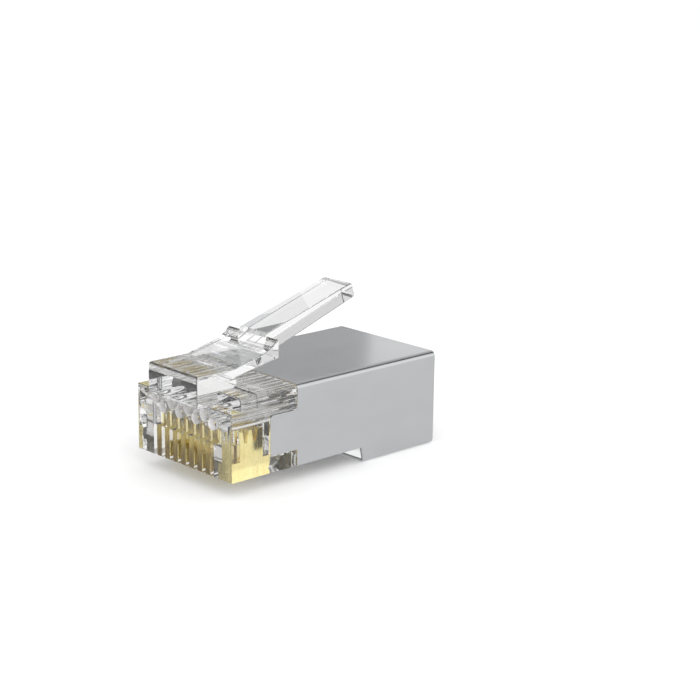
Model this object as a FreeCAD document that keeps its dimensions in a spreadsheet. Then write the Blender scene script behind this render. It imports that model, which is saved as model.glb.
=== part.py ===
import FreeCAD, Part
import math
import os
import Sketcher
from FreeCAD import Vector

# Shielded eight-way modular plug: a clear moulded housing with its latch, eight blade contacts
# and one folded sheet shield. Millimetres. X runs across the contacts, Y from the mating face
# towards the cable, Z from the contact side up to the latch side. Every outline below is measured
# from the mating face (Y = 0) and the contact side (Z = 0), and each sub-part is then placed so
# that the origin is the middle of the whole plug's footprint.

SIZES = [
    ("body_wide", 11.68, "housing across the flanks"),
    ("body_tall", 6.60, "contact side to latch side"),
    ("body_long", 21.92, "mating face to cable end"),
    ("ledge_tall", 5.45, "height of the low front ledge"),
    ("ledge_long", 1.00, "length of the low front ledge"),
    ("collar_end", 2.60, "rear end of the slightly smaller collar above the ledge"),
    ("collar_step", 0.08, "how much smaller the collar is"),
    ("corner_round", 0.35, "rounding of the housing's long top edges"),
    ("nose_wide", 6.08, "width of the latch root and the latch shoulders"),
    ("nose_reach", 1.00, "how far the latch root overhangs the mating face"),
    ("nose_top", 7.98, "height of the latch root's flat top"),
    ("nose_back", 2.84, "rear face of the latch root block"),
    ("nose_round", 0.25, "rounding of the latch root's front top edge"),
    ("edge_round", 0.10, "rounding of the moulding's other open edges"),
    ("hinge_along", 2.45, "flexing line of the latch behind the mating face"),
    ("web_thick", 0.78, "thickness of the latch where it flexes"),
    ("hinge_gap", 0.02, "running gap round the latch's flexing root"),
    ("relief", 0.08, "clearance below the latch over its root block"),
    ("web_flat_end", 2.75, "where the latch starts to climb"),
    ("web_foot", 0.95, "foot of the shoulder ramp, ahead of the shoulders' rear face"),
    ("web_foot_top", 8.79, "height of the latch at the foot of the ramp"),
    ("shoulder_along", 7.20, "rear face of the locking shoulders"),
    ("shoulder_top", 9.68, "top of the locking shoulders"),
    ("shoulder_low", 8.06, "underside of the locking shoulders"),
    ("ramp_round", 3.00, "hollow round at the foot of the ramp"),
    ("lever_wide", 3.25, "width of the release lever"),
    ("lever_raise", 0.12, "lever's height above the shoulders"),
    ("tip_along", 16.70, "end of the release lever"),
    ("tip_low", 11.38, "underside of the lever at its end"),
    ("tip_thick", 1.20, "thickness of the lever at its end"),
    ("tip_lean", 0.37, "how far the lever's end face leans back"),
    ("tip_round", 0.25, "rounding of the lever's end"),
    ("way_count", 8, "number of contacts"),
    ("pitch", 1.016, "distance between contacts"),
    ("blade_thick", 0.35, "contact blade's sheet"),
    ("blade_front", 0.90, "blade's front edge behind the mating face"),
    ("blade_long", 3.85, "length of the blade's foot"),
    ("blade_proud", 0.15, "how far an uncrimped blade stands out of its slot"),
    ("foot_tall", 1.20, "height of the blade's foot"),
    ("foot_round", 0.55, "rounding of the foot's rear lower corner"),
    ("neck_lead", 0.85, "shoulder in front of the blade's neck"),
    ("neck_step", 0.70, "shoulder behind the blade's neck"),
    ("blade_tall", 3.60, "blade from its foot to the points of its prongs"),
    ("notch_first", 2.33, "middle of the first notch between the prongs"),
    ("notch_pitch", 0.90, "distance between the two notches"),
    ("notch_deep", 0.95, "depth of the notches"),
    ("notch_wide", 0.62, "mouth of a notch"),
    ("notch_floor", 0.26, "floor of a notch"),
    ("slot_tall", 2.55, "height of the slots, which run out through the mating face"),
    ("slot_side", 0.03, "gap on each side of a blade's foot in its slot"),
    ("slot_round", 1.20, "radius of a slot's round rear end"),
    ("throat_side", 0.01, "gap on each side of a blade's neck"),
    ("throat_end", 0.12, "gap in front of and behind a blade's neck"),
    ("wire_round", 0.475, "radius of a wire hole"),
    ("wire_upper", 4.75, "height of the upper row of wire holes"),
    ("wire_lower", 4.20, "height of the lower row of wire holes"),
    ("window_front", 7.72, "front end of the window in the contact side"),
    ("window_back", 13.39, "rear end of the window in the contact side"),
    ("cavity_wide", 9.90, "width of the cable cavity"),
    ("roof_slope", 0.75, "length of the slope in the cavity's roof"),
    ("roof_drop", 0.45, "fall of the slope in the cavity's roof"),
    ("roof_wall", 0.66, "wall above the cable cavity"),
    ("bore_front", 12.60, "front end of the round-sided cable bore"),
    ("sill", 0.25, "floor of the cable bore over the contact side"),
    ("entry_along", 14.30, "where the cable bore deepens"),
    ("entry_floor", 0.65, "wall below the deep end of the cable bore"),
    ("bar_along", 9.10, "front edge of the strain bar across the window"),
    ("bar_long", 0.95, "length of the strain bar"),
    ("bar_low", 0.15, "strain bar above the contact side"),
    ("bar_tall", 1.15, "height of the strain bar"),
    ("heel_along", 13.64, "start of the step down to the deeper rear end"),
    ("heel_run", 0.28, "length of that step"),
    ("heel_drop", 1.35, "how much deeper the rear end is"),
    ("sheet", 0.25, "shield's sheet"),
    ("sheet_gap", 0.02, "gap between the shield and the housing"),
    ("sheet_proud", 0.03, "shield outside the housing's flank"),
    ("sheet_over", 0.05, "shield above the housing's top"),
    ("shield_front", 6.65, "front edge of the shield"),
    ("bend", 0.45, "outer radius of the shield's bends"),
    ("tab_front", 3.90, "front end of the shield's flank tabs"),
    ("tab_low", 1.35, "lower edge of the flank tabs"),
    ("tab_high", 4.60, "upper edge of the flank tabs"),
    ("tab_round", 0.35, "corner radius of the flank tabs"),
    ("seam_swing", 0.45, "seam's swing to each side of the middle"),
    ("seam_gap", 0.06, "width of the seam"),
    ("seam_steps", 5, "number of straight runs along the seam"),
]

doc = FreeCAD.newDocument("modular_plug")
dims = doc.addObject("Spreadsheet::Sheet", "dims")
for row, (name, value, meaning) in enumerate(SIZES, start=1):
    dims.set("A%d" % row, name)
    dims.set("B%d" % row, str(value))
    dims.set("C%d" % row, meaning)
    dims.setAlias("B%d" % row, name)
doc.recompute()

# each sketch plane, with the body axes that its own two axes run along
SIDE = "YZ_Plane"     # across is Y, up is Z, and a pad grows both ways along X
FACE = "XZ_Plane"     # across is X, up is Z, and a pocket cuts towards the cable
PLAN = "XY_Plane"     # across is X, up is Y, and a pocket cuts towards the contact side


def tie(formula):
    """Point each size name of a formula at the sheet."""
    names = {name for name, value, meaning in SIZES}
    words = formula.replace("(", " ( ").replace(")", " ) ").split()
    return " ".join("dims." + word if word in names else word for word in words)


def value_of(formula):
    return float(dims.evalExpression(tie(formula)))


def origin_part(body, role):
    return [one for one in body.Origin.OriginFeatures if one.Role == role][0]


def new_body(name):
    """Start a sub-part and seat it so that the whole plug stands over the origin."""
    body = doc.addObject("PartDesign::Body", name)
    body.Label = name
    body.setExpression("Placement.Base.y", tie("( nose_reach - body_long ) / 2"))
    body.setExpression("Placement.Base.z", tie("heel_drop"))
    return body


def new_sketch(body, name, plane, lift="0"):
    """Make a sketch on one of the body's own planes, lifted along the plane's normal."""
    sketch = body.newObject("Sketcher::SketchObject", name)
    sketch.AttachmentSupport = (origin_part(body, plane), "")
    sketch.MapMode = "FlatFace"
    sketch.setExpression("AttachmentOffset.Base.z", tie(lift))
    return sketch


def bind(sketch, kind, label, formula, *place):
    """Add a dimension to the sketch that follows a formula."""
    index = sketch.addConstraint(Sketcher.Constraint(kind, *place, value_of(formula)))
    sketch.renameConstraint(index, label)
    sketch.setExpression("Constraints." + label, tie(formula))


def outline(sketch, corners):
    """Draw a closed outline whose corners are pairs of formulas."""
    points = [Vector(value_of(across), value_of(up), 0) for across, up in corners]
    first = sketch.GeometryCount
    for start, end in zip(points, points[1:] + points[:1]):
        sketch.addGeometry(Part.LineSegment(start, end))
    for line in range(first, sketch.GeometryCount):
        after = line + 1 if line + 1 < sketch.GeometryCount else first
        sketch.addConstraint(Sketcher.Constraint("Coincident", line, 2, after, 1))
    for line, (across, up) in enumerate(corners, start=first):
        bind(sketch, "DistanceX", "across_%d" % line, across, -1, 1, line, 1)
        bind(sketch, "DistanceY", "up_%d" % line, up, -1, 1, line, 1)


def ring(sketch, across, up, radius):
    """Draw a circle whose centre and radius are formulas."""
    centre = Vector(value_of(across), value_of(up), 0)
    circle = sketch.addGeometry(Part.Circle(centre, Vector(0, 0, 1), value_of(radius)))
    bind(sketch, "DistanceX", "across", across, -1, 1, circle, 3)
    bind(sketch, "DistanceY", "up", up, -1, 1, circle, 3)
    bind(sketch, "Radius", "radius", radius, circle)


def round_sided(sketch, wide, low, high):
    """Draw a slot outline with flat floor and roof and half-round sides."""
    reach = "( %s / 2 - ( %s - %s ) / 2 )" % (wide, high, low)
    side, floor, roof = value_of(reach), value_of(low), value_of(high)
    middle, radius = (floor + roof) / 2, (roof - floor) / 2
    sketch.addGeometry(Part.LineSegment(Vector(-side, roof, 0), Vector(side, roof, 0)))
    sketch.addGeometry(Part.LineSegment(Vector(side, floor, 0), Vector(-side, floor, 0)))
    for centre, start in ((side, -math.pi / 2), (-side, math.pi / 2)):
        circle = Part.Circle(Vector(centre, middle, 0), Vector(0, 0, 1), radius)
        sketch.addGeometry(Part.ArcOfCircle(circle, start, start + math.pi))
    for one, other in (((0, 2), (2, 2)), ((1, 1), (2, 1)), ((1, 2), (3, 2)), ((0, 1), (3, 1))):
        sketch.addConstraint(Sketcher.Constraint("Coincident", *one, *other))
    for line, point, across, up in (
            (0, 1, "-1 * " + reach, high), (0, 2, reach, high),
            (1, 1, reach, low), (1, 2, "-1 * " + reach, low)):
        bind(sketch, "DistanceX", "across_%d_%d" % (line, point), across, -1, 1, line, point)
        bind(sketch, "DistanceY", "up_%d_%d" % (line, point), up, -1, 1, line, point)
    bind(sketch, "DistanceX", "right_middle", reach, -1, 1, 2, 3)
    bind(sketch, "DistanceX", "left_middle", "-1 * " + reach, -1, 1, 3, 3)


def box_corners(left, low, right, high):
    return [(left, low), (right, low), (right, high), (left, high)]


def grow(body, kind, sketch, length, centred=True, backwards=False):
    """Pad or pocket a sketch, and make sure that the body's volume changed."""
    before = body.Shape.Volume if body.Tip else 0.0
    feature = body.newObject("PartDesign::" + kind, sketch.Name + "_" + kind.lower())
    feature.Profile = sketch
    feature.SideType = "Symmetric" if centred else "One side"
    feature.Reversed = backwards
    feature.setExpression("Length", tie(length))
    doc.recompute()
    change = body.Shape.Volume - before
    if (change if kind == "Pad" else -change) < 1e-6:
        raise ValueError("%s does not change the body" % feature.Name)
    return feature


def repeat(body, features, count, step):
    """Repeat features along X, as many times as the formula counts."""
    pattern = body.newObject("PartDesign::LinearPattern", features[0].Name + "_row")
    pattern.Originals = features
    pattern.Direction = (origin_part(body, "X_Axis"), [""])
    pattern.setExpression("Occurrences", tie(count))
    pattern.setExpression("Length", tie("( %s - 1 ) * %s" % (count, step)))
    body.Tip = pattern
    doc.recompute()


def soften(body, radius, picks):
    """Fillet the edges of the body so far that the given test picks."""
    base = body.Tip
    names = ["Edge%d" % number for number, edge in enumerate(base.Shape.Edges, start=1)
             if picks(edge, edge.CenterOfMass)]
    if not names:
        raise ValueError("no edge to round on " + body.Label)
    feature = body.newObject("PartDesign::Fillet", base.Name + "_round")
    feature.Base = (base, names)
    feature.setExpression("Radius", tie(radius))
    doc.recompute()


def near(number, formula):
    return abs(number - value_of(formula)) < 1e-4


def along(edge, axis):
    """Tell whether an edge runs straight along one axis."""
    spans = {"X": edge.BoundBox.XLength, "Y": edge.BoundBox.YLength, "Z": edge.BoundBox.ZLength}
    return all(spans[one] < 1e-4 for one in "XYZ" if one != axis)


# ---- housing: one clear moulding, with slots for the blades, staggered wire holes that run out
# through the mating face, a window crossed by its strain bar, and the cable bore

sheet_out = "( body_wide / 2 + sheet_proud )"
sheet_in = "( body_wide / 2 + sheet_proud - sheet )"
core_half = "( body_wide / 2 + sheet_proud - sheet - sheet_gap )"
core_top = "( body_tall + sheet_over - sheet - sheet_gap )"
core_low = "( sheet + sheet_gap - heel_drop )"
core_round = "( bend - sheet - sheet_gap )"
hinge_up = "( nose_top - web_thick / 2 )"
ramp_foot = "( shoulder_along - web_foot )"
blade_back = "( blade_front + blade_long )"
neck_front = "( blade_front + neck_lead )"
neck_back = "( blade_front + blade_long - neck_step )"
cavity_roof = "( body_tall + sheet_over - sheet - sheet_gap - roof_wall )"
first_way = "( ( 1 - way_count ) / 2 * pitch )"

housing = new_body("housing")

collar = new_sketch(housing, "collar", SIDE)
outline(collar, box_corners("ledge_long", "0", "shield_front / 2", "body_tall - collar_step"))
grow(housing, "Pad", collar, "body_wide - 2 * collar_step")

trunk = new_sketch(housing, "trunk", SIDE)
outline(trunk, [
    ("0", "0"),
    ("shield_front - sheet_gap", "0"),
    ("shield_front - sheet_gap", "body_tall"),
    ("collar_end", "body_tall"),
    ("collar_end", "ledge_tall"),
    ("0", "ledge_tall"),
])
grow(housing, "Pad", trunk, "body_wide")
soften(housing, "corner_round", lambda edge, middle: (
    along(edge, "Y") and middle.z > value_of("ledge_tall + collar_step")
))

core = new_sketch(housing, "core", SIDE)
outline(core, [
    ("collar_end + ledge_long", "0"),
    ("heel_along", "0"),
    ("heel_along + heel_run", core_low),
    ("body_long", core_low),
    ("body_long", core_top),
    ("collar_end + ledge_long", core_top),
])
grow(housing, "Pad", core, "2 * " + core_half)
soften(housing, core_round, lambda edge, middle: (
    along(edge, "Y") and middle.y > value_of("shield_front")
    and (near(middle.z, core_top) or near(middle.z, core_low))
))

tab_seat = new_sketch(housing, "tab_seat", PLAN, "tab_low - sheet_gap")
for side in ("1", "-1"):
    outline(tab_seat, box_corners(
        "%s * %s" % (side, core_half), "tab_front - sheet_gap",
        "%s * body_wide" % side, "shield_front"))
grow(housing, "Pocket", tab_seat, "tab_high - tab_low + 2 * sheet_gap", False, True)

nose = new_sketch(housing, "nose", SIDE)
outline(nose, [
    ("-1 * nose_reach", "ledge_tall"),
    ("ledge_long / 2", "ledge_tall"),
    ("ledge_long / 2", "ledge_tall - collar_step"),
    ("nose_back", "ledge_tall - collar_step"),
    ("nose_back", "nose_top - web_thick - relief"),
    ("hinge_along - web_thick / 3", "nose_top - web_thick - relief"),
    ("hinge_along - web_thick / 3", "nose_top"),
    ("-1 * nose_reach", "nose_top"),
])
grow(housing, "Pad", nose, "nose_wide")
soften(housing, "nose_round", lambda edge, middle: (
    along(edge, "X") and near(middle.y, "-1 * nose_reach") and near(middle.z, "nose_top")
))
soften(housing, "edge_round", lambda edge, middle: near(middle.y, "-1 * nose_reach") or (
    near(abs(middle.x), "nose_wide / 2")
    and (near(middle.z, "nose_top") or middle.y < value_of("-1 * nose_round / 2"))
))
soften(housing, "edge_round", lambda edge, middle: near(middle.y, "0") and (
    abs(middle.x) > value_of("nose_wide / 2") or near(middle.z, "0")
))
soften(housing, "edge_round", lambda edge, middle: (
    near(middle.y, "ledge_long") and middle.z > value_of("ledge_tall + collar_step")
    and abs(middle.x) > value_of("nose_wide / 2 + collar_step")
))

socket = new_sketch(housing, "socket", SIDE)
ring(socket, "hinge_along", hinge_up, "web_thick / 2 + hinge_gap")
grow(housing, "Pocket", socket, "nose_wide")

chamber = new_sketch(housing, "chamber", SIDE)
outline(chamber, [
    ("window_front", "-1 * heel_drop"),
    ("window_back", "-1 * heel_drop"),
    ("window_back", "sill"),
    ("bore_front", "sill + roof_slope"),
    ("bore_front", cavity_roof),
    ("window_front + roof_slope", cavity_roof),
    ("window_front", cavity_roof + " - roof_drop"),
])
grow(housing, "Pocket", chamber, "cavity_wide")

bore = new_sketch(housing, "bore", FACE, "-1 * body_long")
round_sided(bore, "cavity_wide", "sill", cavity_roof)
grow(housing, "Pocket", bore, "body_long - bore_front + roof_drop", False, True)

entry = new_sketch(housing, "entry", FACE, "-1 * body_long")
round_sided(entry, "cavity_wide", "( %s + entry_floor )" % core_low, cavity_roof)
grow(housing, "Pocket", entry, "body_long - entry_along", False, True)

slot = new_sketch(housing, "slot", SIDE, first_way)
outline(slot, box_corners(
    "-1 * nose_reach", "-1 * heel_drop", blade_back + " + throat_end", "slot_tall"))
slot_cut = grow(housing, "Pocket", slot, "blade_thick + 2 * slot_side")

slot_end = new_sketch(housing, "slot_end", SIDE, first_way)
ring(slot_end, blade_back, "slot_round - blade_proud / 3", "slot_round")
end_cut = grow(housing, "Pocket", slot_end, "blade_thick + 2 * slot_side")

throat = new_sketch(housing, "throat", SIDE, first_way)
outline(throat, box_corners(
    neck_front + " - throat_end", "foot_tall",
    neck_back + " + throat_end", "wire_upper - wire_round / 2"))
throat_cut = grow(housing, "Pocket", throat, "blade_thick + 2 * throat_side")

upper = new_sketch(housing, "upper_wires", FACE)
ring(upper, first_way, "wire_upper", "wire_round")
upper_cut = grow(housing, "Pocket", upper, "window_front + roof_slope", False)

lower = new_sketch(housing, "lower_wires", FACE)
ring(lower, first_way + " + pitch", "wire_lower", "wire_round")
lower_cut = grow(housing, "Pocket", lower, "window_front + roof_slope", False)

repeat(housing, [slot_cut, end_cut, throat_cut], "way_count", "pitch")
repeat(housing, [upper_cut, lower_cut], "way_count / 2", "2 * pitch")

bar = new_sketch(housing, "strain_bar", SIDE)
outline(bar, [
    ("bar_along", "bar_low"),
    ("bar_along + bar_long", "bar_low"),
    ("bar_along + bar_long", "bar_low + bar_tall"),
    ("bar_along + bar_long / 2", "bar_low + bar_tall"),
    ("bar_along", "bar_low + bar_tall / 2"),
])
grow(housing, "Pad", bar, "cavity_wide + sheet")

# ---- latch: the same moulding beyond its flexing root, with a round root, a climbing web as
# wide as the root block, locking shoulders with a hollow ramp, and the narrower lever

latch = new_body("latch")

web = new_sketch(latch, "web", SIDE)
outline(web, [
    ("hinge_along", "nose_top - web_thick"),
    ("shoulder_along", "shoulder_low"),
    ("shoulder_along", "shoulder_top"),
    (ramp_foot, "web_foot_top"),
    ("web_flat_end", "nose_top"),
    ("hinge_along", "nose_top"),
])
grow(latch, "Pad", web, "nose_wide")
soften(latch, "ramp_round", lambda edge, middle: (
    along(edge, "X") and near(middle.z, "web_foot_top")
))
soften(latch, "edge_round", lambda edge, middle: middle.y > value_of("hinge_along + web_thick / 8") and (
    near(abs(middle.x), "nose_wide / 2") or near(middle.y, "shoulder_along")
))

root = new_sketch(latch, "root", SIDE)
ring(root, "hinge_along", hinge_up, "web_thick / 2")
grow(latch, "Pad", root, "nose_wide")

lever = new_sketch(latch, "lever", SIDE)
outline(lever, [
    (ramp_foot, "( shoulder_low + web_foot_top ) / 2"),
    ("shoulder_along", "shoulder_low"),
    ("tip_along", "tip_low"),
    ("tip_along - tip_lean", "tip_low + tip_thick"),
    ("shoulder_along", "shoulder_top + lever_raise"),
    ("shoulder_along - 2 * lever_raise", "shoulder_top - 2 * lever_raise"),
])
grow(latch, "Pad", lever, "lever_wide")
soften(latch, "tip_round", lambda edge, middle: (
    along(edge, "X") and middle.y > value_of("tip_along - 2 * tip_lean")
))
soften(latch, "edge_round", lambda edge, middle: (
    near(abs(middle.x), "lever_wide / 2")
    and middle.y > value_of("shoulder_along + lever_raise")
))

# ---- contacts: flat blades stamped with three prongs above a longer foot


def blade_corners():
    """Foot, shoulders, and three prongs with flat-floored notches between them."""
    shoulder = "foot_tall - blade_proud"
    tip = "blade_tall - blade_proud"
    floor = tip + " - notch_deep"
    corners = [
        (neck_front, tip),
        (neck_front, shoulder),
        ("blade_front", shoulder),
        ("blade_front", "-1 * blade_proud"),
        (blade_back, "-1 * blade_proud"),
        (blade_back, shoulder),
        (neck_back, shoulder),
        (neck_back, tip),
    ]
    for middle in ("notch_first + notch_pitch", "notch_first"):
        corners += [
            (middle + " + notch_wide / 2", tip),
            (middle + " + notch_floor / 2", floor),
            (middle + " - notch_floor / 2", floor),
            (middle + " - notch_wide / 2", tip),
        ]
    return corners


contacts = []
for way in range(int(value_of("way_count"))):
    contact = new_body("contact_%d" % (way + 1))
    stamp = new_sketch(contact, "blade_%d" % (way + 1), SIDE, "%s + %d * pitch" % (first_way, way))
    outline(stamp, blade_corners())
    grow(contact, "Pad", stamp, "blade_thick")
    soften(contact, "foot_round", lambda edge, middle: (
        along(edge, "X") and near(middle.y, blade_back) and near(middle.z, "-1 * blade_proud")
    ))
    contacts.append(contact)

# ---- shield: one sheet folded round the rear of the housing, closed on the contact side by a
# seam whose edges interlock, with a tab on each flank that reaches forward

shield = new_body("shield")

wrap = new_sketch(shield, "wrap", SIDE)
outline(wrap, [
    ("shield_front", "0"),
    ("heel_along", "0"),
    ("heel_along + heel_run", "-1 * heel_drop"),
    ("body_long", "-1 * heel_drop"),
    ("body_long", "body_tall + sheet_over"),
    ("shield_front", "body_tall + sheet_over"),
    ("shield_front", "tab_high"),
    ("tab_front", "tab_high"),
    ("tab_front", "tab_low"),
    ("shield_front", "tab_low"),
])
grow(shield, "Pad", wrap, "2 * " + sheet_out)
soften(shield, "bend", lambda edge, middle: (
    along(edge, "Y") and (near(middle.z, "body_tall + sheet_over") or near(middle.z, "-1 * heel_drop"))
))
soften(shield, "tab_round", lambda edge, middle: along(edge, "X") and near(middle.y, "tab_front"))

hollow = new_sketch(shield, "hollow", FACE, "-1 * body_long")
outline(hollow, box_corners(
    "-1 * " + sheet_in, "sheet - heel_drop", sheet_in, "body_tall + sheet_over - sheet"))
grow(shield, "Pocket", hollow, "2 * body_long", False, True)
soften(shield, "bend - sheet", lambda edge, middle: (
    along(edge, "Y") and (near(middle.x, sheet_in) or near(middle.x, "-1 * " + sheet_in))
    and middle.y > value_of("shield_front")
))

seam_start = "( heel_along + heel_run / 2 )"
seam_run = "( ( body_long + sheet - %s ) / seam_steps )" % seam_start


def seam_edge(side):
    """One edge of the seam, which swings from side to side of the middle as it runs back."""
    corners = []
    steps = int(value_of("seam_steps"))
    for step in range(steps):
        across = "%s * seam_swing %s seam_gap / 2" % ("-1" if step % 2 == 0 else "1", side)
        for turn in (step, step + 1):
            back = "%s + %d * %s" % (seam_start, turn, seam_run)
            if 0 < turn < steps:
                outside = (turn % 2 == 1) == (side == "-")
                back += " %s seam_gap / 2" % ("+" if outside else "-")
            corners.append((across, back))
    return corners


seam = new_sketch(shield, "seam", PLAN, "-1 * heel_drop")
outline(seam, seam_edge("-") + seam_edge("+")[::-1])
grow(shield, "Pocket", seam, "2 * sheet")

# ---- check everything, then write one file for each sub-part

doc.recompute()
for item in doc.Objects:
    if "Invalid" in item.State or "Error" in item.State:
        raise ValueError("%s failed: %s" % (item.Label, item.State))

os.makedirs("parts", exist_ok=True)
for item in [housing, latch, shield] + contacts:
    if item.Shape.isNull() or not item.Shape.isValid() or len(item.Shape.Solids) != 1:
        raise ValueError(item.Label + " is not one valid solid")
    item.Shape.exportStep("parts/%s.step" % item.Label)
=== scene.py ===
import math

import bmesh
import bpy
from mathutils import Matrix, Vector
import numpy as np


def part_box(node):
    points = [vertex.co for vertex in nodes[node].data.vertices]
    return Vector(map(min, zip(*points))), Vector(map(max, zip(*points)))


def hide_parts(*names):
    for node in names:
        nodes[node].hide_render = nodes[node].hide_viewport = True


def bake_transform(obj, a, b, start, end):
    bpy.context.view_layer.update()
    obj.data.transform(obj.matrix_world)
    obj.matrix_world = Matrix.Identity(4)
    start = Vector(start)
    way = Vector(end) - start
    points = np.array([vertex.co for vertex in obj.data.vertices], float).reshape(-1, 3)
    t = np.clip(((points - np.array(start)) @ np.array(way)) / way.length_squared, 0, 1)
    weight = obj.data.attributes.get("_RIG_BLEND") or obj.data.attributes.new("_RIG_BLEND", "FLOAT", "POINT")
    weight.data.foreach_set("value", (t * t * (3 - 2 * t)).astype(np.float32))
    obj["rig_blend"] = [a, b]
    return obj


# The assembled plug: every piece sits where the CAD frame says, in metres, with +Y towards the
# cable and +Z towards the latch.
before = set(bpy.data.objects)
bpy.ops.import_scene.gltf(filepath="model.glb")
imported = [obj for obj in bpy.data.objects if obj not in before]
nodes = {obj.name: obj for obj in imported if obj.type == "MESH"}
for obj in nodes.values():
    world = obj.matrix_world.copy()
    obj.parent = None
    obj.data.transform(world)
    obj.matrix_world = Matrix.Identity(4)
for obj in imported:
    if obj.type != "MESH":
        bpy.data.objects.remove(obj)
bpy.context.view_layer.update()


# Clear polycarbonate moulding. Housing and latch leave the mould as one piece, so they show as
# one: the two CAD solids are joined through the thin web that flexes behind the latch root. The
# blades are a tight press fit, so the plastic closes up against their flat sides.

# The moulding is made in millimetres, and turned into metres at the end.
MM = 0.001
WELD = 0.0005
EDGE_ROUND = 0.10
# The line that the latch bends about, and the stretch of web that is filled in across it.
ROOT_Y, ROOT_Z = -8.01, 8.94
FILLER_FROM, FILLER_TO = ROOT_Y - 0.45, ROOT_Y + 0.27
FILLER_DEEP = 0.76
# A blade's bed is wider than its slot, but lies just within the blade's own outline.
BED_WIDER, BED_SHORTER, BED_SUNK = 1.24, 0.99, 0.004


def placed(name, work):
    """Turn a bmesh into an object of the scene."""
    mesh = bpy.data.meshes.new(name)
    work.to_mesh(mesh)
    work.free()
    piece = bpy.data.objects.new(name, mesh)
    bpy.context.scene.collection.objects.link(piece)
    return piece


def closed_copy(node):
    """A watertight copy of a CAD solid, in millimetres."""
    work = bmesh.new()
    work.from_mesh(nodes[node].data)
    bmesh.ops.scale(work, vec=(1 / MM,) * 3, verts=work.verts)
    bmesh.ops.remove_doubles(work, verts=work.verts, dist=WELD)
    return placed(node + "_copy", work)


def web_filler(half, top):
    """The stretch of web that joins the root block to the latch, with the same rounded edges."""
    turn = EDGE_ROUND * (1 - math.cos(math.radians(45)))
    right = [(half, top - FILLER_DEEP), (half, top - EDGE_ROUND),
             (half - turn, top - turn), (half - EDGE_ROUND, top)]
    section = right + [(-x, z) for x, z in right[::-1]]
    work = bmesh.new()
    ends = [[work.verts.new((x, y, z)) for x, z in section] for y in (FILLER_FROM, FILLER_TO)]
    work.faces.new(ends[0])
    work.faces.new(ends[1][::-1])
    for i in range(len(section)):
        work.faces.new((ends[0][i - 1], ends[1][i - 1], ends[1][i], ends[0][i]))
    bmesh.ops.recalc_face_normals(work, faces=work.faces)
    return placed("web_filler", work)


def blade_bed(node, contact_side):
    """The plastic that closes up on one blade."""
    bed = closed_copy(node)
    points = [v.co for v in bed.data.vertices]
    middle = [(min(p[i] for p in points) + max(p[i] for p in points)) / 2 for i in range(3)]
    for p in points:
        p.x = middle[0] + (p.x - middle[0]) * BED_WIDER
        p.y = middle[1] + (p.y - middle[1]) * BED_SHORTER
        p.z = max(middle[2] + (p.z - middle[2]) * BED_SHORTER, contact_side + BED_SUNK)
    return bed


def evaluated_mesh(piece):
    """The mesh of a piece with its modifiers applied."""
    bpy.context.view_layer.update()
    return bpy.data.meshes.new_from_object(
        piece.evaluated_get(bpy.context.evaluated_depsgraph_get()))


shell = closed_copy("housing")
arm = closed_copy("latch")
web = web_filler(max(v.co.x for v in arm.data.vertices), max(v.co.z for v in shell.data.vertices))
contact_side = min(v.co.z for v in shell.data.vertices if v.co.y < ROOT_Y)
beds = [blade_bed("contact_%d" % way, contact_side) for way in range(1, 9)]
for other in [web, arm] + beds:
    join = shell.modifiers.new(other.name, "BOOLEAN")
    join.operation = "UNION"
    join.solver = "MANIFOLD"
    join.object = other
moulding = bpy.data.objects.new("moulding", evaluated_mesh(shell))
bpy.context.scene.collection.objects.link(moulding)
for used in [shell, arm, web] + beds:
    bpy.data.objects.remove(used)


# A face wider than this is a wall, and the others are the narrow strips of a rounded edge. Faces
# that meet at less than these angles are shaded as one, and one without an area meets none.
WALL_WIDTH = 0.2
WALL_TURN, EDGE_TURN = math.radians(10), math.radians(50)
NO_AREA = math.radians(360)


def width(face):
    """About how wide a long face is."""
    return 2 * face.calc_area() / face.calc_perimeter()


def wall_normals(work):
    """Flat walls stay flat right up to their narrow rounded edges, which turn from one wall to
    the next: otherwise the clear plastic shows waves."""
    wall = {face: width(face) > WALL_WIDTH for face in work.faces}
    normals = []
    for face in work.faces:
        turn = WALL_TURN if wall[face] else EDGE_TURN
        for loop in face.loops:
            near = [f for f in loop.vert.link_faces
                    if f.normal.angle(face.normal, NO_AREA) < turn]
            walls = [f for f in near if wall[f]]
            if wall[face]:
                total = sum((f.normal * f.calc_area() for f in walls), Vector())
            elif walls:
                total = min(walls, key=lambda f: f.normal.angle(face.normal, NO_AREA)).normal
            else:
                total = sum((f.normal for f in near), Vector())
            normals.append(total.normalized() if total.length else face.normal.copy())
    return normals


# The wire holes open in the mating face between these heights, above the blades, and are matt
# for a short way in. Faces that turn less than FLAT_WITHIN from each other are one flat wall.
MATING_FACE = -10.46
MOUTH_LOW, MOUTH_HIGH = 5.06, 6.60
MATT_DEPTH = 0.60
FLAT_WITHIN = math.radians(0.6)


def at_a_mouth(face):
    """Whether a face is part of the wall round a wire hole."""
    middle = face.calc_center_median()
    along_the_hole = abs(face.normal.y) < 0.5
    return MOUTH_LOW < middle.z < MOUTH_HIGH and middle.y > MATING_FACE and along_the_hole


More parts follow.
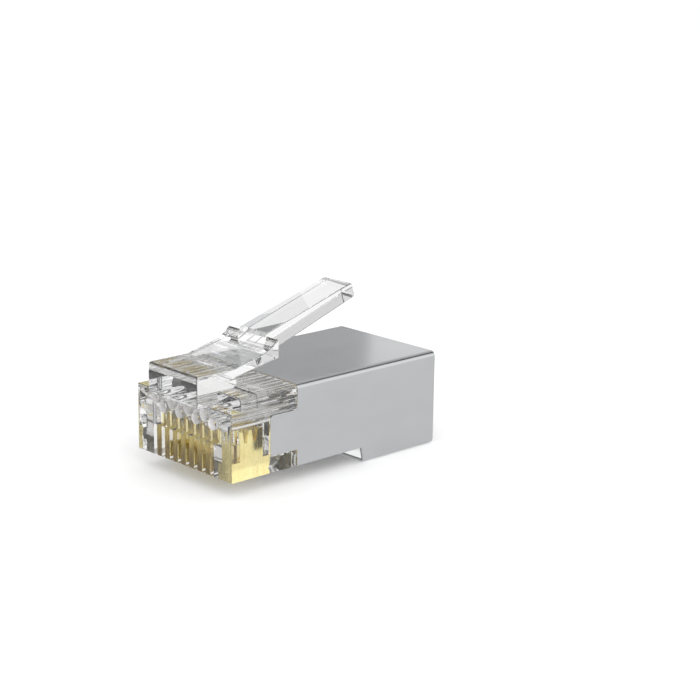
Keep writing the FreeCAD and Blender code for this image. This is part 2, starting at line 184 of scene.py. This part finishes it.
work = bmesh.new()
work.from_mesh(moulding.data)
bmesh.ops.remove_doubles(work, verts=work.verts, dist=WELD)
bmesh.ops.dissolve_limit(work, angle_limit=FLAT_WITHIN, verts=work.verts, edges=work.edges)
around = [face for face in work.faces if at_a_mouth(face)]
bmesh.ops.bisect_plane(work, geom=around + list({e for f in around for e in f.edges})
                       + list({v for f in around for v in f.verts}),
                       plane_co=(0, MATING_FACE + MATT_DEPTH, 0), plane_no=(0, 1, 0))
work.normal_update()
for face in work.faces:
    face.smooth = True
matt_walls = [i for i, face in enumerate(work.faces)
              if at_a_mouth(face) and face.calc_center_median().y < MATING_FACE + MATT_DEPTH]
normals = wall_normals(work)
work.to_mesh(moulding.data)
work.free()
moulding.data.normals_split_custom_set(normals)
moulding.data.transform(Matrix.Scale(MM, 4))


def noise(tree, stretch, detail=2):
    """Grey noise in the object's own millimetres; stretch is how often it changes along x, y, z."""
    place = tree.nodes.new("ShaderNodeTexCoord")
    scale = tree.nodes.new("ShaderNodeMapping")
    scale.inputs["Scale"].default_value = [s / MM for s in stretch]
    grain = tree.nodes.new("ShaderNodeTexNoise")
    grain.inputs["Scale"].default_value = 1
    grain.inputs["Detail"].default_value = detail
    tree.links.new(place.outputs["Object"], scale.inputs["Vector"])
    tree.links.new(scale.outputs["Vector"], grain.inputs["Vector"])
    return grain.outputs["Fac"]


def between(tree, value, low, high, start=0.3, end=0.7):
    """A number that runs from low to high as the value runs from start to end."""
    span = tree.nodes.new("ShaderNodeMapRange")
    for socket, number in (("From Min", start), ("From Max", end),
                           ("To Min", low), ("To Max", high)):
        span.inputs[socket].default_value = number
    tree.links.new(value, span.inputs["Value"])
    return span.outputs["Result"]


def ripple(tree, height, depth):
    """Lets a grey pattern stand out of the surface by depth millimetres at most."""
    bump = tree.nodes.new("ShaderNodeBump")
    bump.inputs["Strength"].default_value = 1
    bump.inputs["Distance"].default_value = depth * MM
    tree.links.new(height, bump.inputs["Height"])
    tree.links.new(bump.outputs["Normal"], tree.nodes["Principled BSDF"].inputs["Normal"])


# Very faint flow lines of the melt along the plug, and a touch of haze from handling. The
# plastic itself is a little grey where it is thick.
clear = bpy.data.materials.new("clear_polycarbonate")
clear.use_nodes = True
tree = clear.node_tree
shader = tree.nodes["Principled BSDF"]
shader.inputs["Base Color"].default_value = (0.99, 0.992, 0.992, 1)
shader.inputs["IOR"].default_value = 1.58
shader.inputs["Transmission Weight"].default_value = 1.0
haze = noise(tree, stretch=(0.5, 0.35, 0.5), detail=3)
tree.links.new(between(tree, haze, low=0.0, high=0.015), shader.inputs["Roughness"])
ripple(tree, noise(tree, stretch=(0.9, 0.12, 0.9), detail=1), depth=0.0006)
smoke = tree.nodes.new("ShaderNodeVolumeAbsorption")
smoke.inputs["Color"].default_value = (0.90, 0.90, 0.90, 1)
smoke.inputs["Density"].default_value = 100
tree.links.new(smoke.outputs["Volume"], tree.nodes["Material Output"].inputs["Volume"])
moulding.data.materials.clear()
moulding.data.materials.append(clear)

# The mouths of the wire holes: the same plastic with a matt white surface.
matt = bpy.data.materials.new("matt_mouth")
matt.use_nodes = True
tree = matt.node_tree
shader = tree.nodes["Principled BSDF"]
shader.inputs["Base Color"].default_value = (0.97, 0.96, 0.955, 1)
shader.inputs["IOR"].default_value = 1.58
rub = noise(tree, stretch=(6, 1, 6), detail=3)
tree.links.new(between(tree, rub, low=0.4, high=0.6), shader.inputs["Roughness"])
ripple(tree, rub, depth=0.002)
moulding.data.materials.append(matt)
for i in matt_walls:
    moulding.data.polygons[i].material_index = 1

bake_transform(moulding, "plug_body", "latch_arm",
         start=(0, (ROOT_Y - 0.9) * MM, ROOT_Z * MM), end=(0, (ROOT_Y + 1.3) * MM, ROOT_Z * MM))
# Only the web bends. What lies under it, and the root block before it, stay with the housing.
WEB_UNDERSIDE, UNDERSIDE_RISE = ROOT_Z - 0.43, 0.1
ROOT_BLOCK_END = ROOT_Y - 0.6
share = moulding.data.attributes["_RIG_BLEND"].data
for vertex in moulding.data.vertices:
    y, z = vertex.co.y / MM, vertex.co.z / MM
    if z < WEB_UNDERSIDE + UNDERSIDE_RISE * max(0, y - ROOT_Y) or y < ROOT_BLOCK_END:
        share[vertex.index].value = 0
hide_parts("housing", "latch")


# Eight contacts, stamped from thin bronze sheet and plated with gold. Each stands in its own
# slot of the moulding until crimping drives its three prongs into a conductor.

gold = bpy.data.materials.new("gold_plate")
gold.use_nodes = True
tree = gold.node_tree
shader = tree.nodes["Principled BSDF"]
shader.inputs["Metallic"].default_value = 1.0
tint = tree.nodes.new("ShaderNodeMix")
tint.data_type = "RGBA"
tint.inputs["A"].default_value = (0.93, 0.79, 0.34, 1)
tint.inputs["B"].default_value = (0.985, 0.88, 0.43, 1)
cloud = noise(tree, stretch=(0.5, 0.5, 0.9), detail=3)
tree.links.new(between(tree, cloud, low=0, high=1), tint.inputs["Factor"])
tree.links.new(tint.outputs["Result"], shader.inputs["Base Color"])
shear_lines = noise(tree, stretch=(9, 9, 0.8), detail=2)
tree.links.new(between(tree, shear_lines, low=0.13, high=0.30), shader.inputs["Roughness"])
ripple(tree, shear_lines, depth=0.002)
for way in range(1, 9):
    blade = nodes["contact_%d" % way]
    blade.data.materials.clear()
    blade.data.materials.append(gold)


# Shield: one piece of thin nickel-plated sheet, folded round the rear of the moulding and closed
# on the contact side by an interlocking seam. Its flank tabs grip the moulding.

low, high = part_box("shield")
SHEET = 0.25
UNDER_OUTER_FACE = 0.6 * SHEET * MM

nickel = bpy.data.materials.new("satin_nickel")
nickel.use_nodes = True
tree = nickel.node_tree
shader = tree.nodes["Principled BSDF"]
shader.inputs["Metallic"].default_value = 1.0
cloud = between(tree, noise(tree, stretch=(0.25, 0.12, 0.25), detail=4), low=0, high=1)
grain = noise(tree, stretch=(14, 0.6, 14), detail=3)

# The side that faces the moulding is painted duller and darker than the outside: painted shade, standing in
# for the shade inside the shield.
place = tree.nodes.new("ShaderNodeTexCoord")
axes = tree.nodes.new("ShaderNodeSeparateXYZ")
tree.links.new(place.outputs["Object"], axes.inputs["Vector"])
painted_shade_inside = None
for axis, start, end in (("X", low[0], high[0]), ("Z", low[2], high[2])):
    within = tree.nodes.new("ShaderNodeMath")
    within.operation = "COMPARE"
    within.inputs[1].default_value = (start + end) / 2
    within.inputs[2].default_value = (end - start) / 2 - UNDER_OUTER_FACE
    tree.links.new(axes.outputs[axis], within.inputs[0])
    if painted_shade_inside is None:
        painted_shade_inside = within.outputs["Value"]
    else:
        both = tree.nodes.new("ShaderNodeMath")
        both.operation = "MULTIPLY"
        tree.links.new(painted_shade_inside, both.inputs[0])
        tree.links.new(within.outputs["Value"], both.inputs[1])
        painted_shade_inside = both.outputs["Value"]
tone = None
# The dark grey mixed in last is painted shade on the side that faces the moulding; the two lighter greys
# vary at random.
for factor, colour in ((cloud, (0.53, 0.54, 0.55, 1)), (painted_shade_inside, (0.22, 0.22, 0.225, 1))):
    mix = tree.nodes.new("ShaderNodeMix")
    mix.data_type = "RGBA"
    mix.inputs["A"].default_value = (0.49, 0.50, 0.51, 1)
    mix.inputs["B"].default_value = colour
    tree.links.new(factor, mix.inputs["Factor"])
    if tone is not None:
        tree.links.new(tone, mix.inputs["A"])
    tone = mix.outputs["Result"]
tree.links.new(tone, shader.inputs["Base Color"])
tree.links.new(between(tree, grain, low=0.20, high=0.25), shader.inputs["Roughness"])
ripple(tree, grain, depth=0.00015)
shield = nodes["shield"]
shield.data.materials.clear()
shield.data.materials.append(nickel)


# Plain studio: white paper for a floor, an even pale surround and one soft lamp high on the
# right. A tent of grey and white cards stands round the plug, for gloss and clear plastic take
# their look from what surrounds them. The camera looks from the front corner.

FLOOR_REACH = 3


def seen_by(tree, *kinds):
    """One for rays of the named kinds, such as those that look straight or by way of a gloss."""
    path = tree.nodes.new("ShaderNodeLightPath")
    total = path.outputs[kinds[0]]
    for kind in kinds[1:]:
        add = tree.nodes.new("ShaderNodeMath")
        add.operation = "MAXIMUM"
        tree.links.new(total, add.inputs[0])
        tree.links.new(path.outputs[kind], add.inputs[1])
        total = add.outputs[0]
    return total


floor_mesh = bpy.data.meshes.new("floor")
floor_mesh.from_pydata([(FLOOR_REACH * x, FLOOR_REACH * y, 0)
                        for x, y in ((-1, -1), (1, -1), (1, 1), (-1, 1))], [], [(0, 1, 2, 3)])
floor = bpy.data.objects.new("floor", floor_mesh)
bpy.context.scene.collection.objects.link(floor)
paper = bpy.data.materials.new("white_paper")
paper.use_nodes = True
tree = paper.node_tree
shader = tree.nodes["Principled BSDF"]
shader.inputs["Base Color"].default_value = (0.9, 0.9, 0.9, 1)
shader.inputs["Roughness"].default_value = 0.9
shader.inputs["Specular IOR Level"].default_value = 0.0
shader.inputs["Emission Color"].default_value = (1, 1, 1, 1)

# Looked at straight, the paper is lifted to white. In gloss and through the plastic it shows
# as partly plain white, so that it is even there too.
lift = tree.nodes.new("ShaderNodeMath")
lift.operation = "MULTIPLY"
lift.inputs[1].default_value = 0.16
tree.links.new(seen_by(tree, "Is Camera Ray"), lift.inputs[0])
tree.links.new(lift.outputs[0], shader.inputs["Emission Strength"])
white = tree.nodes.new("ShaderNodeEmission")
part_white = tree.nodes.new("ShaderNodeMath")
part_white.operation = "MULTIPLY"
part_white.inputs[1].default_value = 0.58
tree.links.new(seen_by(tree, "Is Glossy Ray", "Is Transmission Ray"), part_white.inputs[0])
paper_mix = tree.nodes.new("ShaderNodeMixShader")
tree.links.new(part_white.outputs[0], paper_mix.inputs["Fac"])
tree.links.new(shader.outputs[0], paper_mix.inputs[1])
tree.links.new(white.outputs[0], paper_mix.inputs[2])
tree.links.new(paper_mix.outputs[0], tree.nodes["Material Output"].inputs["Surface"])
floor_mesh.materials.append(paper)

world = bpy.data.worlds.new("studio")
bpy.context.scene.world = world
world.use_nodes = True
tree = world.node_tree
surround = tree.nodes["Background"]
surround.inputs["Color"].default_value = (1, 1, 1, 1)
brightness = tree.nodes.new("ShaderNodeMapRange")
brightness.inputs["To Min"].default_value = 0.95
brightness.inputs["To Max"].default_value = 1.0
tree.links.new(seen_by(tree, "Is Camera Ray", "Is Glossy Ray", "Is Transmission Ray"),
               brightness.inputs["Value"])
tree.links.new(brightness.outputs["Result"], surround.inputs["Strength"])

CARD_STEP = 10
TENT_RADIUS = 0.5


def card(name, azimuths, elevations, grey, out=TENT_RADIUS):
    """A bent card of the light tent, out metres away, between two azimuths and two elevations
    in degrees. Only gloss and clear plastic see it."""
    columns, layers = (max(1, round((end - start) / CARD_STEP))
                       for start, end in (azimuths, elevations))
    rows = []
    work = bmesh.new()
    for j in range(layers + 1):
        up = math.radians(elevations[0] + (elevations[1] - elevations[0]) * j / layers)
        rows.append([])
        for i in range(columns + 1):
            turn = math.radians(azimuths[0] + (azimuths[1] - azimuths[0]) * i / columns)
            rows[j].append(work.verts.new((out * math.cos(up) * math.cos(turn),
                                           out * math.cos(up) * math.sin(turn),
                                           out * math.sin(up))))
    for low, high in zip(rows, rows[1:]):
        for i in range(columns):
            work.faces.new((low[i], low[i + 1], high[i + 1], high[i]))
    mesh = bpy.data.meshes.new(name)
    work.to_mesh(mesh)
    work.free()
    paint = bpy.data.materials.new(name)
    paint.use_nodes = True
    shader = paint.node_tree.nodes["Principled BSDF"]
    shader.inputs["Base Color"].default_value = (0, 0, 0, 1)
    shader.inputs["Specular IOR Level"].default_value = 0
    shader.inputs["Emission Color"].default_value = (1, 1, 1, 1)
    shader.inputs["Emission Strength"].default_value = grey
    mesh.materials.append(paint)
    tent = bpy.data.objects.new(name, mesh)
    bpy.context.scene.collection.objects.link(tent)
    tent.visible_camera = tent.visible_diffuse = tent.visible_shadow = False


for name, azimuths, elevations, grey in (
        ("right_light_card", (-30, 60), (0.5, 36), 1.35),
        ("right_high_card", (-30, 60), (36, 55), 1.0),
        ("far_right_card", (60, 120), (0.5, 36), 0.9),
        ("far_right_gap", (60, 90), (36, 55), 0.05),
        ("far_foot_card", (120, 150), (0.5, 10), 1.4),
        ("far_card", (120, 150), (10, 22), 0.45),
        ("far_middle_card", (120, 150), (22, 36), 0.7),
        ("far_high_card", (90, 150), (36, 55), 0.72),
        ("left_card", (150, 180), (0.5, 22), 0.65),
        ("left_dark_card", (150, 180), (22, 36), 0.05),
        ("left_high_card", (150, 180), (36, 55), 0.65),
        ("front_card", (180, 270), (0.5, 22), 0.7),
        ("front_high_card", (180, 270), (22, 55), 0.05),
        ("near_card", (270, 330), (0.5, 22), 1.1),
        ("near_high_card", (270, 330), (22, 55), 0.08),
        ("top_far_card", (-30, 150), (55, 70), 0.95),
        ("top_near_card", (150, 330), (55, 70), 0.2),
        ("top_card", (0, 360), (70, 89.9), 0.4)):
    card(name, azimuths, elevations, grey)
card("close_reflector", (75, 125), (2, 32), 1.0, out=0.04)

PLUG_MIDDLE = Vector((0, 0, 0.005))
lamp_data = bpy.data.lights.new("soft_lamp", "AREA")
lamp_data.shape = "DISK"
lamp_data.size = 0.2
lamp_data.energy = 0.15
lamp = bpy.data.objects.new("soft_lamp", lamp_data)
lamp.location = (0.16, -0.05, 0.14)
lamp.rotation_euler = (PLUG_MIDDLE - lamp.location).to_track_quat("-Z", "Y").to_euler()
bpy.context.scene.collection.objects.link(lamp)

camera_data = bpy.data.cameras.new("camera")
camera_data.sensor_width = 36
camera_data.lens = 89.31
camera_data.clip_start, camera_data.clip_end = 0.01, 10
camera = bpy.data.objects.new("camera", camera_data)
camera.location = (0.10216, -0.08980, 0.04490)
camera.rotation_euler = [math.radians(a) for a in (75.186, -0.773, 46.662)]
bpy.context.scene.collection.objects.link(camera)
bpy.context.scene.camera = camera
bpy.context.scene.view_settings.view_transform = "Standard"

# Light crosses many walls of the clear plastic before it leaves the plug.
bpy.context.scene.cycles.max_bounces = 32
bpy.context.scene.cycles.transmission_bounces = 32
bpy.context.scene.cycles.glossy_bounces = 16
